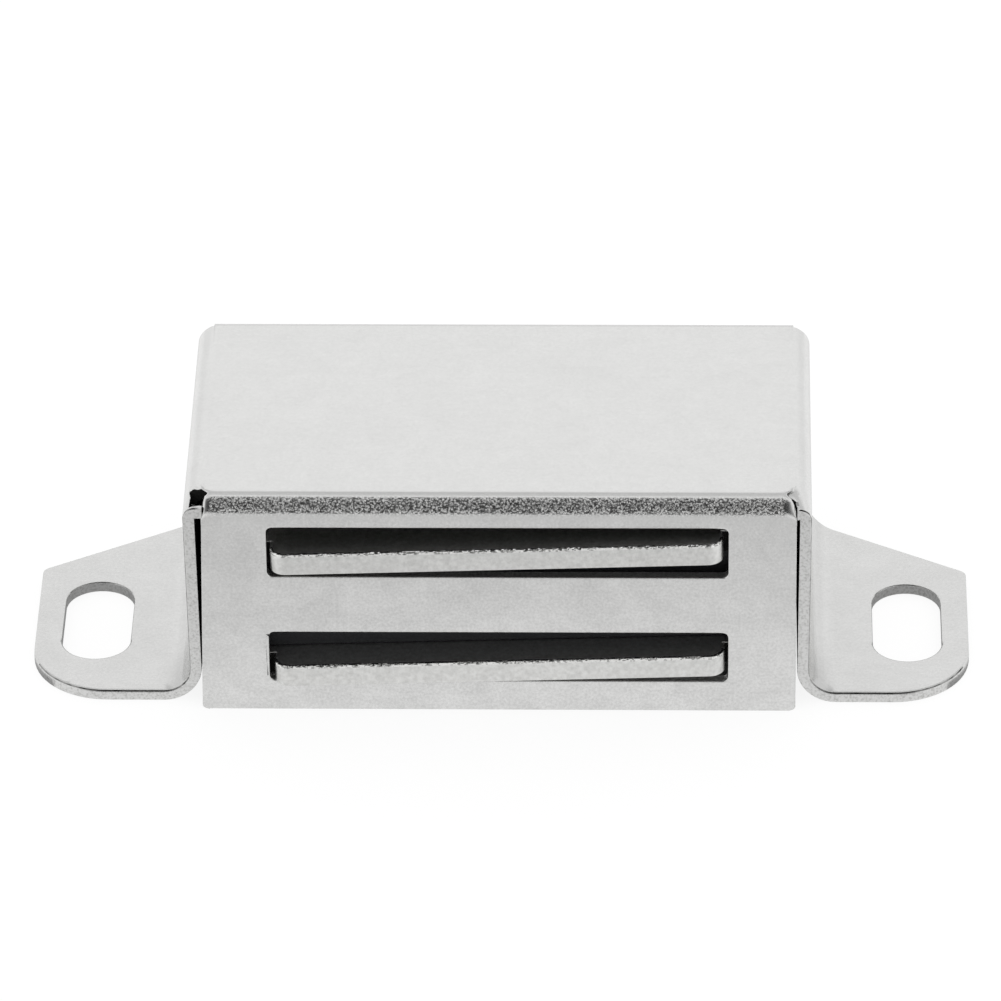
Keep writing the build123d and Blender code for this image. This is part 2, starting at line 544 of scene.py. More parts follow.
def is_crisp(edge: bmesh.types.BMEdge, limit: float = CRISP) -> bool:
    """Tells whether an edge between two faces turns by more than a limit in radians."""
    return len(edge.link_faces) == 2 and edge.calc_face_angle() > limit


def round_edges(
    work: bmesh.types.BMesh, edges: list[bmesh.types.BMEdge], width_mm: float, steps: int
) -> None:
    """Rounds edges of a mesh in place.

    Args:
        work: the mesh.
        edges: the edges to round.
        width_mm: how far back from the edge the rounding starts.
        steps: facets across the rounding.
    """
    bmesh.ops.bevel(
        work, geom=edges, offset=width_mm * MM, segments=steps, profile=0.5, affect="EDGES",
        clamp_overlap=False, loop_slide=True,
    )


def cut_across(
    work: bmesh.types.BMesh, place: tuple[float, float, float], way: tuple[float, float, float],
    behind_mm: float = math.inf, above_mm: float = -math.inf,
) -> None:
    """Splits the faces of a mesh along a plane.

    Args:
        work: the mesh.
        place: a point of the plane, in millimetres.
        way: the plane's normal.
        behind_mm: faces that reach further back than this along Y stay whole.
        above_mm: faces that reach lower than this stay whole.
    """
    back, low = behind_mm * MM + HAIR, above_mm * MM - HAIR
    faces = [f for f in work.faces if all(v.co.y < back and v.co.z > low for v in f.verts)]
    # Dictionaries keep the order, so that each run cuts alike.
    edges = list(dict.fromkeys(e for f in faces for e in f.edges))
    verts = list(dict.fromkeys(v for f in faces for v in f.verts))
    point = [c * MM for c in place]
    bmesh.ops.bisect_plane(
        work, geom=verts + edges + faces, plane_co=point, plane_no=way, dist=2 * HAIR,
    )


def clean_copy(node: str) -> bmesh.types.BMesh:
    """Copies a CAD node's mesh, welded and with its flat faces made whole."""
    weld, flat = 0.005 * MM, math.radians(0.4)
    work = bmesh.new()
    work.from_mesh(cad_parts[node].data)
    bmesh.ops.remove_doubles(work, verts=work.verts, dist=weld)
    bmesh.ops.dissolve_limit(work, angle_limit=flat, verts=work.verts, edges=work.edges)
    return work


def finished_mesh(work: bmesh.types.BMesh, name: str) -> bpy.types.Object:
    """Turns a working mesh into a smooth-shaded object whose flats stay flat.

    Args:
        work: the working mesh, which is freed.
        name: the object's name.

    Returns:
        The linked object.
    """
    for face in work.faces:
        face.smooth = True
    for edge in work.edges:
        edge.smooth = not is_crisp(edge)
    mesh = bpy.data.meshes.new(name)
    work.to_mesh(mesh)
    work.free()
    piece = link_object(name, mesh)
    modifier = piece.modifiers.new("even_shading", "WEIGHTED_NORMAL")
    modifier.weight = FLAT_WEIGHT
    modifier.keep_sharp = True
    return piece


def dress(
    piece: bpy.types.Object, body: Body, finishes: list[bpy.types.Material],
    node: str = "",
) -> None:
    """Gives a piece its finishes and its body, and hides the CAD node that it stands for.

    Args:
        piece: the new piece.
        body: the body that it rides on.
        finishes: its Blender materials, in the order of its faces' numbers.
        node: the CAD node that it replaces, if any.
    """
    for material in finishes:
        piece.data.materials.append(material)
    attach(piece, body.value)
    if node:
        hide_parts(node)
    log.info("%s: %d faces on %s", piece.name, len(piece.data.polygons), body.value)


@dataclass(frozen=True)
class Zone:
    """A box in millimetres, the same on the left side as on the right one.

    Each field holds a low and a high limit; `across` is counted outwards from the middle.
    """

    across: tuple[float, float] = (-math.inf, math.inf)
    along: tuple[float, float] = (-math.inf, math.inf)
    height: tuple[float, float] = (-math.inf, math.inf)

    def holds(self, place: Vector) -> bool:
        """Tells whether a place, in millimetres, is inside."""
        return (
            self.across[0] < abs(place.x) < self.across[1]
            and self.along[0] < place.y < self.along[1]
            and self.height[0] < place.z < self.height[1]
        )

    def holds_edge(self, edge: bmesh.types.BMEdge) -> bool:
        """Tells whether both ends of an edge are inside."""
        return all(self.holds(vertex.co / MM) for vertex in edge.verts)


@dataclass
class Housing:
    """The folded sheet: top plate, flaps, side walls and ears."""

    sheet_finish: ColdRolledStainless = field(default_factory=ColdRolledStainless)
    edge_finish: ShearedEdge = field(default_factory=ShearedEdge)
    # Black paint for painted shade in the reliefs, the seams and the gaps beside the flap.
    shade_finish: PaintedShade = field(default_factory=PaintedShade)
    # Painted shade on rolled edges: grey and near-black paint in place of the dark ceiling that the
    # rolls mirror.
    painted_roll_finish: ShearedEdge = field(default_factory=lambda: ShearedEdge(
        name="painted_dark_roll", colour="a4a4a3", torn_colour="1e1e1d", roughness=0.3,
        tear_mm=0.9,
    ))

    # The folded sheet. A bend is measured to its outside.
    sheet_mm: float = 1.0
    bend_mm: float = 1.75
    top_mm: float = 21.0
    flap_half_mm: float = 24.975
    flap_top_mm: float = 19.0
    gap_mm: float = 0.4
    seam_mm: float = 0.1
    slot_half_mm: float = 19.4
    slots_top_mm: float = 18.8
    relief_mm: float = 0.85
    relief_end_mm: float = 2.55

    # Rolled edges: how far back from the edge each roll starts.
    slot_roll_mm: float = 0.2
    slot_roll_depth: float = 0.35
    rim_roll_mm: float = 0.26
    flap_roll_mm: float = 0.07
    edge_roll_mm: float = 0.12
    gap_roll_mm: float = 0.04
    roll_steps: int = 3
    slot_roll_steps: int = 4
    # How far apart two places may be that count as one.
    fit_mm: float = 0.05

    # Cuts that make the front corners of the cover fine enough to shape.
    columns_mm: tuple[float, ...] = (23.4, 23.9, 24.2, 24.4, 24.55, 24.7, 24.8, 24.9)
    rows_mm: tuple[float, ...] = (0.36, 0.5, 0.7, 0.9, 1.1, 1.35, 1.55, 1.95)
    strip_past_mm: float = 0.15
    strip_low_mm: float = 0.6
    shade_end_mm: float = 22.0

    # The relief's rear edge comes forward by this much, and by the slant more at its inner end.
    relief_cut_mm: float = 0.3
    relief_slant_mm: float = 0.25

    # The side bends tighten towards their front edges.
    arch_draw_mm: float = 0.75
    arch_fade_mm: float = 2.6
    arch_turn: float = 0.35
    arch_least_mm: float = 0.04

    # The ends of the front bend drop away.
    end_mm: float = 0.8
    end_drop_mm: float = 0.4

    # The seams beside the front bend curve inwards: (distance behind the front, shift) points.
    corner_start_mm: float = 23.4
    corner_end_mm: float = 25.9
    corner_front_mm: float = 0.4
    seam_path: tuple[tuple[float, float], ...] = (
        (0.0, 0.0), (0.45, 0.0), (0.65, 0.03), (0.9, 0.15), (1.15, 0.35), (1.35, 0.6), (1.75, 0.75),
        (1.95, 0.2), (2.35, 0.0),
    )

    # Outward shift of the flap's sides at its top and at its foot.
    left_sides_mm: tuple[float, float] = (-0.16, 0.22)
    right_sides_mm: tuple[float, float] = (0.13, 0.14)
    side_fade_mm: float = 0.5

    # Opened grain on the outside of a bend: angles from the top where it starts, is full, starts
    # to fade and ends, and the distances from the middle where it fades.
    grain_turns: tuple[float, float, float, float] = (22.0, 30.0, 70.0, 76.0)
    grain_ends_mm: tuple[float, float] = (23.9, 24.3)
    bend_fit_mm: float = 0.03
    top_wear: float = 0.3
    ear_wear: float = 0.45
    wear_fade_mm: float = 5.0

    # Where the sheet has an edge, a finish of its own or painted shade.
    wall_edge_zone: Zone = Zone(across=(25.075, 25.475), height=(1.0, math.inf))
    rim_zone: Zone = Zone(across=(26.275, math.inf), along=(-math.inf, -3), height=(0.98, 5))
    flap_side_zone: Zone = Zone(across=(24.675, 25.275), along=(-math.inf, -13))
    front_knot_zone: Zone = Zone((23.4, 25.2), (-math.inf, -11.4), (19, math.inf))
    rear_knot_zone: Zone = Zone((23.4, 25.2), (11.4, math.inf), (19, math.inf))
    seam_zone: Zone = Zone((23.4, 25.045), (-math.inf, -12.2), (19.2, 20.96))
    relief_zone: Zone = Zone((24.875, 25.925), (-12.7, -11), (18, math.inf))
    inner_wall_zone: Zone = Zone((25.255, 25.975), (-math.inf, 7.8), (3, math.inf))
    outer_roll_zone: Zone = Zone(across=(26.025, math.inf), along=(-math.inf, -8))
    rear_roll_zone: Zone = Zone((28.7, math.inf), (1.5, math.inf), (0.8, math.inf))
    arch_zone: Zone = Zone((25.025, math.inf), (-math.inf, -12), (19.4, math.inf))
    wall_cut_zone: Zone = Zone(across=(24.995, math.inf), along=(-math.inf, -12))
    ear_cut_zone: Zone = Zone(across=(28.7, math.inf), height=(-math.inf, 1.0))
    flap_cut_zone: Zone = Zone(along=(-14.15, -13.25), height=(-math.inf, 18.5))
    low_roll_mm: float = 2.6

    # Cosines between a face's normal and an axis that tell the face's kind.
    facing: float = 0.7
    edgewise: float = 0.4
    seam_turn: float = 0.6
    roll_turns: tuple[float, float] = (0.3, 0.93)

    def on_slots(self, edge: bmesh.types.BMEdge, front: float) -> bool:
        """Tells whether an edge outlines a nose slot on the front flap's outer face."""
        reach = (self.slot_half_mm + self.fit_mm) * MM
        return all(abs(v.co.y - front) < TOUCH and abs(v.co.x) < reach for v in edge.verts)

    def flatten_slot_rolls(self, work: bmesh.types.BMesh, front: float) -> None:
        """Makes the roll about each nose slot shallow, as a blanking die leaves it.

        Args:
            work: the housing's mesh, its slot edges just rounded.
            front: the front flap's outer face along Y, in metres.
        """
        reach = (self.slot_half_mm + self.slot_roll_mm + self.fit_mm) * MM
        depth, top = (self.slot_roll_mm + self.fit_mm) * MM, self.slots_top_mm * MM
        for vertex in work.verts:
            behind = vertex.co.y - front
            if HAIR < behind < depth and abs(vertex.co.x) < reach and vertex.co.z < top:
                vertex.co.y = front + behind * self.slot_roll_depth

    def on_short_rim(self, edge: bmesh.types.BMEdge) -> bool:
        """Tells whether an edge is a short one on a rim, too small for a roll."""
        return edge.calc_length() < self.rim_roll_mm * MM and self.rim_zone.holds_edge(edge)

    def elsewhere(self, edge: bmesh.types.BMEdge) -> bool:
        """Tells whether an edge has the sheet's common roll."""
        own = self.wall_edge_zone.holds_edge(edge) or self.flap_side_zone.holds_edge(edge)
        return not (own or self.on_short_rim(edge))

    def in_knot(self, edge: bmesh.types.BMEdge) -> bool:
        """Tells whether an edge is one of the short ones about a bend relief, left crisp."""
        ends = [vertex.co / MM for vertex in edge.verts]
        return any(
            zone.holds(end) for end in ends for zone in (self.front_knot_zone, self.rear_knot_zone)
        )

    def is_dark(self, face: bmesh.types.BMFace) -> bool:
        """Tells whether a face lies in a seam, a relief or the shade behind the front flap, and so
        gets painted shade.
        """
        place, way = face.calc_center_median() / MM, face.normal
        middle = face.calc_center_median_weighted() / MM
        faces_in = way.x * math.copysign(1.0, place.x) < -self.facing
        return (
            (self.seam_zone.holds(place) and abs(way.x) > self.seam_turn)
            or (self.relief_zone.holds(place) and way.y < -self.roll_turns[0])
            or (self.inner_wall_zone.holds(middle) and faces_in)
        )

    def is_painted_dark_roll(self, face: bmesh.types.BMFace) -> bool:
        """Tells whether a face is on a roll painted dark, as painted shade for the dark ceiling
        that the roll mirrors.
        """
        place, way = face.calc_center_median() / MM, face.normal
        least, most = self.roll_turns
        rolled = least < -way.y < most and (way.z > least or place.z > self.low_roll_mm)
        zones = (self.outer_roll_zone, self.rear_roll_zone, self.arch_zone)
        return rolled and any(zone.holds(place) for zone in zones)

    def is_sheared(self, face: bmesh.types.BMFace) -> bool:
        """Tells whether a face was sheared across the sheet's thickness."""
        place, way = face.calc_center_median() / MM, face.normal
        return (
            (self.wall_cut_zone.holds(place) and way.y < -self.facing)
            or (self.ear_cut_zone.holds(place) and abs(way.z) < self.edgewise)
            or (self.flap_cut_zone.holds(place) and abs(way.y) < self.edgewise)
        )

    def finish_of(self, face: bmesh.types.BMFace) -> SheetFinish:
        """Picks a face's finish."""
        # Faces in seams, reliefs and behind the flap get painted shade.
        if self.is_dark(face):
            return SheetFinish.PAINTED_SHADE
        # Some rolls are painted dark as painted shade for the dark that they mirror.
        if self.is_painted_dark_roll(face):
            return SheetFinish.PAINTED_DARK_ROLL
        return SheetFinish.SHEARED if self.is_sheared(face) else SheetFinish.ROLLED

    def add_cuts(self, work: bmesh.types.BMesh, front: float) -> None:
        """Splits the front strip of the cover finely enough to shape its corners.

        Args:
            work: the housing's mesh.
            front: the front flap's outer face along Y, in millimetres.
        """
        strip_end = front + self.relief_end_mm + self.strip_past_mm
        foot = self.top_mm - self.bend_mm - self.strip_low_mm
        cut_across(work, (0, front + self.shade_end_mm, 0), (0, 1, 0))
        cut_across(work, (0, strip_end, 0), (0, 1, 0))
        cut_across(work, (0, 0, foot), (0, 0, 1), strip_end)
        for place in self.rows_mm:
            cut_across(work, (0, front + place, 0), (0, 1, 0), strip_end, foot)
        for place in self.columns_mm:
            for side in (-1, 1):
                cut_across(work, (side * place, 0, 0), (1, 0, 0), strip_end, foot)

    def shorten_relief(self, work: bmesh.types.BMesh, front: float) -> None:
        """Brings the rear edge of the left relief forward, its inner end most.

        Args:
            work: the housing's mesh.
            front: the front flap's outer face along Y, in millimetres.
        """
        inner, outer = self.flap_half_mm, self.flap_half_mm + self.relief_mm
        fit = self.fit_mm / 2
        for vertex in work.verts:
            x, y, z = (c / MM for c in vertex.co)
            on_edge = abs(y - front - self.relief_end_mm) < fit and z > self.relief_zone.height[0]
            if on_edge and -outer - fit < x < -inner + fit:
                share = clamped((outer + x) / (outer - inner))
                vertex.co.y -= (self.relief_cut_mm + self.relief_slant_mm * share) * MM

    def draw_in_arches(self, work: bmesh.types.BMesh, low: Vector, high: Vector) -> None:
        """Tightens the side bends just behind their front edges, beside the flap.

        Args:
            work: the housing's mesh.
            low: the housing's low corner.
            high: the housing's high corner.
        """
        bend, flap, fit = self.bend_mm, self.flap_half_mm, self.fit_mm / 2
        centre = flap + self.gap_mm + self.sheet_mm - bend
        base = high.z / MM - bend
        for vertex in work.verts:
            x, y, z = (c / MM for c in vertex.co)
            across, up, behind = abs(x) - centre, z - base, y - low.y / MM
            share = clamped(1 - behind / self.arch_fade_mm)
            if abs(x) <= flap + self.fit_mm or up <= 0 or share == 0:
                continue
            reach, turn = math.hypot(across, up), math.atan2(up, across)
            reach = max(self.arch_least_mm, reach - self.arch_draw_mm * share)
            turn = min(math.pi / 2, turn * (1 + self.arch_turn * share))
            vertex.co.z = (base + reach * math.sin(turn)) * MM
            if abs(x) > flap + self.gap_mm / 2:
                across = centre + self.arch_draw_mm * share + reach * math.cos(turn)
                vertex.co.x = math.copysign(across, x) * MM
            elif abs(x) < flap + self.seam_mm + fit and behind < self.corner_front_mm:
                top = self.left_sides_mm[0] if x < 0 else self.right_sides_mm[0]
                vertex.co.x = math.copysign(flap + top + self.arch_least_mm, x) * MM

    def round_ends(self, work: bmesh.types.BMesh, low: Vector, high: Vector) -> None:
        """Draws in both ends of the front bend a little, so that they catch the light.

        Args:
            work: the housing's mesh.
            low: the housing's low corner.
            high: the housing's high corner.
        """
        bend = self.bend_mm
        for vertex in work.verts:
            across = (low.y - vertex.co.y) / MM + bend
            up = (vertex.co.z - high.z) / MM + bend
            reach = math.hypot(across, up)
            inward = abs(vertex.co.x) / MM - self.flap_half_mm + self.end_mm
            on_bend = across > 0 and up > 0 and abs(reach - bend) < self.fit_mm
            if on_bend and 0 < inward <= self.end_mm + self.fit_mm:
                share = min(1.0, inward / self.end_mm)
                drop = self.end_drop_mm * (1 - math.sqrt(1 - share * share))
                drop *= math.sin(2 * math.atan2(across, up))
                vertex.co.y += drop * across / reach * MM
                vertex.co.z -= drop * up / reach * MM

    def curve_seams(self, work: bmesh.types.BMesh, front: float) -> None:
        """Bends the seams at the ends of the front bend round its corners.

        Args:
            work: the housing's mesh.
            front: the front flap's outer face along Y, in millimetres.
        """
        inner, outer = self.flap_half_mm, self.flap_half_mm + self.seam_mm
        start, end = self.corner_start_mm, self.corner_end_mm
        centre = inner + self.gap_mm + self.sheet_mm - self.bend_mm

        def height(place: float) -> float:
            """Height of a side bend's outer face over its centre, at a distance across."""
            return math.sqrt(self.bend_mm ** 2 - min(self.bend_mm, max(0.0, place - centre)) ** 2)

        for vertex in work.verts:
            x, y, z = (c / MM for c in vertex.co)
            place, behind = abs(x), y - front
            in_corner = start < place < end and z > self.top_mm - self.bend_mm
            if not in_corner or behind < self.corner_front_mm:
                continue
            shift = interpolate(self.seam_path, behind)
            if place < inner:
                shift *= (place - start) / (inner - start)
            elif place > outer:
                shift *= (end - place) / (end - outer)
            if place > inner + self.seam_mm / 10:
                vertex.co.z += (height(place - shift) - height(place)) * MM
            vertex.co.x = math.copysign(place - shift, x) * MM

    def set_flap_sides(self, work: bmesh.types.BMesh, front: float) -> None:
        """Sets the flap's side edges a little off square, as the press left them.

        Args:
            work: the housing's mesh.
            front: the front flap's outer face along Y, in millimetres.
        """
        half, fade = self.flap_half_mm, self.side_fade_mm
        end = front + self.sheet_mm + self.fit_mm + fade
        for vertex in work.verts:
            x, y, z = (c / MM for c in vertex.co)
            share = clamped((end - y) / fade)
            if share > 0 and half - fade < abs(x) < half + self.fit_mm / 5:
                share *= (abs(x) - half + fade) / fade
                top, foot = self.left_sides_mm if x < 0 else self.right_sides_mm
                shift = foot + (top - foot) * clamped(z / self.flap_top_mm)
                vertex.co.x += math.copysign(1.0, x) * shift * share * MM

    def mark(self, piece: bpy.types.Object) -> None:
        """Marks each point's stretch on the outer bends, and its wear.

        Args:
            piece: the finished housing.
        """
        low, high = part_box("housing")
        bend, tolerance = self.bend_mm * MM, self.bend_fit_mm * MM
        mesh = piece.data
        strains = mesh.attributes.new("strain", "FLOAT", "POINT")
        wears = mesh.attributes.new("wear", "FLOAT", "POINT")
        start, full, fading, end = self.grain_turns
        inner, outer = self.grain_ends_mm
        for vertex, strain, wear in zip(mesh.vertices, strains.data, wears.data):
            x, y, z = vertex.co
            value = 0.0
            for sign, edge in ((-1, low.y), (1, high.y)):
                across = (y - (edge - sign * bend)) * sign
                up = z - (high.z - bend)
                reach = math.hypot(across, up)
                if across > 0 and up > 0 and abs(reach - bend) < tolerance:
                    turn = math.degrees(math.atan2(across, up))
                    rise, fall = (turn - start) / (full - start), (end - turn) / (end - fading)
                    value = clamped(min(rise, fall))
            strain.value = value * clamped((outer - abs(x) / MM) / (outer - inner))
            wear.value = min(1.0, self.top_wear + (high.z - z) / MM / self.wear_fade_mm)
            if abs(x) / MM > self.flap_half_mm + self.sheet_mm:
                wear.value = min(wear.value, self.ear_wear)

    def build(self) -> None:
        """Makes and dresses the housing."""
        low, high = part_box("housing")
        front = low.y / MM
        work = clean_copy("housing")
        self.shorten_relief(work, front)
        self.add_cuts(work, front)
        self.draw_in_arches(work, low, high)
        self.round_ends(work, low, high)
        self.curve_seams(work, front)
        self.set_flap_sides(work, front)
        outline = [e for e in work.edges if is_crisp(e) and self.on_slots(e, low.y)]
        round_edges(work, outline, self.slot_roll_mm, self.slot_roll_steps)
        self.flatten_slot_rolls(work, low.y)
        rolls = (
            (self.rim_zone.holds_edge, self.rim_roll_mm),
            (self.flap_side_zone.holds_edge, self.flap_roll_mm),
            (self.elsewhere, self.edge_roll_mm),
            (self.wall_edge_zone.holds_edge, self.gap_roll_mm),
        )
        for chosen, roll in rolls:
            loose = [e for e in work.edges if is_crisp(e) and not self.in_knot(e)]
            round_edges(work, [e for e in loose if chosen(e)], roll, self.roll_steps)
        for face in work.faces:
            face.material_index = self.finish_of(face).value
        for vertex in work.verts:
            vertex.co.z = max(0.0, vertex.co.z)
        piece = finished_mesh(work, "folded_housing")
        self.mark(piece)
        finishes = [
            self.sheet_finish.make(), self.edge_finish.make(), self.shade_finish.make(),
            self.painted_roll_finish.make(),
        ]
        dress(piece, Body.HOUSING, finishes, "housing")


@dataclass
class MagnetPack:
    """The loose pack: two pole plates, the block between them and the torn edges of the noses."""

    plate_finish: StampedPoleSteel = field(default_factory=StampedPoleSteel)
    burr_finish: TornBurr = field(default_factory=TornBurr)
    block_finish: SinteredFerrite = field(default_factory=SinteredFerrite)
    # Black paint for painted shade on the plates' front faces beside the noses.
    shoulder_shade_finish: PaintedShade = field(default_factory=lambda: PaintedShade(
        name="painted_shade_plate_shoulder",
    ))

    # The plates and the block, and how the pack leans at rest.
    half_block_mm: float = 4.625
    plate_mm: float = 2.0
    middle_mm: float = 10.2001
    tilt: float = 1.8
    slide_mm: float = 0.1
    plate_edge_mm: float = 0.08
    block_edge_mm: float = 0.2
    edge_steps: int = 3
    # The plates' front faces behind this place get painted shade, for the narrow gap beside the
    # nose.
    shoulder_mm: float = -14.6
    shoulder_turn: float = 0.5

    # A nose and the ridge torn along its rolled upper edge.
    nose_half_mm: float = 19.05
    nose_tip_mm: float = -15.2
    nose_corner_mm: float = 1.3
    roll_mm: float = 0.25
    burr_step_mm: float = 0.07
    burr_rows: int = 7
    burr_lift_mm: float = 0.004
    # Noise steps along and across the ridge and along its swell, then their weights.
    tear_steps: tuple[float, float, float] = (0.31, 0.8, 0.06)
    tear_weights: tuple[float, float] = (0.8, 0.5)
    tear_seeds: tuple[float, float] = (1.7, 5.3)
    swell_seed: float = 7.0

    def nose_outline(self) -> list[tuple[Vector, Vector]]:
        """Walks round a nose from its left flank to its right one.

        Returns:
            Points and outward directions in the plate's own plane, in millimetres.
        """
        half, tip, corner = self.nose_half_mm, self.nose_tip_mm, self.nose_corner_mm
        arc = round(corner * math.pi / 2 / self.burr_step_mm)
        run = round(2 * (half - corner) / self.burr_step_mm)
        walk = []
        for step in range(arc):
            turn = math.pi / 2 * step / arc
            way = Vector((-math.cos(turn), -math.sin(turn), 0))
            walk.append((Vector((corner - half, tip + corner, 0)) + way * corner, way))
        for step in range(run + 1):
            x = corner - half + 2 * (half - corner) * step / run
            walk.append((Vector((x, tip, 0)), Vector((0, -1, 0))))
        mirrored = [(Vector((-p.x, p.y, 0)), Vector((-w.x, w.y, 0))) for p, w in walk[:arc]]
        return walk + mirrored[::-1]

    def burr(self, name: str, top_mm: float, slide_mm: float, seed: float) -> bpy.types.Object:
        """Makes the torn ridge along the rolled upper edge of one nose.

        Args:
            name: the piece's name.
            top_mm: height of the plate's upper face over the middle of the pack.
            slide_mm: how far the plate has slid along the pack.
            seed: where in the noise the ridge starts.

        Returns:
            The linked ridge.
        """
        roll, rows = self.roll_mm, self.burr_rows
        lean = Matrix.Rotation(math.radians(-self.tilt), 4, "Y")
        rest = Matrix.Translation((0, 0, self.middle_mm)) @ lean
        step, row_step, swell_step = self.tear_steps
        tear, swell = self.tear_weights
        points = []
        for number, (place, way) in enumerate(self.nose_outline()):
            centre = place - way * roll + Vector((slide_mm, 0, top_mm - roll))
            for row in range(rows):
                turn = math.pi / 2 * row / (rows - 1)
                room = roll / max(math.cos(turn), math.sin(turn)) - roll
                rough = noise.noise(Vector((number * step, row * row_step, seed)))
                ridge = noise.noise(Vector((number * swell_step, 0.0, seed + self.swell_seed)))
                height = roll + room * clamped(0.5 + tear * rough + swell * ridge)
                out = way * math.cos(turn) + Vector((0, 0, math.sin(turn)))
                point = (rest @ (centre + out * (height + self.burr_lift_mm))) * MM
                # The ridge stays behind the front of the solids' box.
                points.append((point.x, max(point.y, CAD_BOX[0][1]), point.z))
        count = len(points) // rows
        faces = [
            (i * rows + j, (i + 1) * rows + j, (i + 1) * rows + j + 1, i * rows + j + 1)
            for i in range(count - 1) for j in range(rows - 1)
        ]
        mesh = bpy.data.meshes.new(name)
        mesh.from_pydata(points, [], faces)
        return link_object(name, mesh)

    def build(self) -> None:
        """Makes and dresses the plates, their torn edges and the block."""
        steel, torn = self.plate_finish.make(), self.burr_finish.make()
        shoulder_shade, seeds = self.shoulder_shade_finish.make(), self.tear_seeds
        plates = (
            ("upper_pole_plate", self.half_block_mm + self.plate_mm, self.slide_mm, seeds[0]),
            ("lower_pole_plate", -self.half_block_mm, -self.slide_mm, seeds[1]),
        )
        for node, top, slide, seed in plates:
            work = clean_copy(node)
            crisp = [e for e in work.edges if is_crisp(e)]
            round_edges(work, crisp, self.plate_edge_mm, self.edge_steps)
            for face in work.faces:
                # Front faces behind the nose tip get painted shade.
                behind = face.calc_center_median().y / MM > self.shoulder_mm
                face.material_index = int(behind and face.normal.y < -self.shoulder_turn)
            piece = finished_mesh(work, "stamped_" + node)
            dress(piece, Body.PACK, [steel, shoulder_shade], node)
            ridge = self.burr("burr_" + node, top, slide, seed)
            dress(ridge, Body.PACK, [torn])
        work = clean_copy("magnet")
        crisp = [e for e in work.edges if is_crisp(e)]
        round_edges(work, crisp, self.block_edge_mm, self.edge_steps)
        block = finished_mesh(work, "ferrite_block")
        dress(block, Body.PACK, [self.block_finish.make()], "magnet")


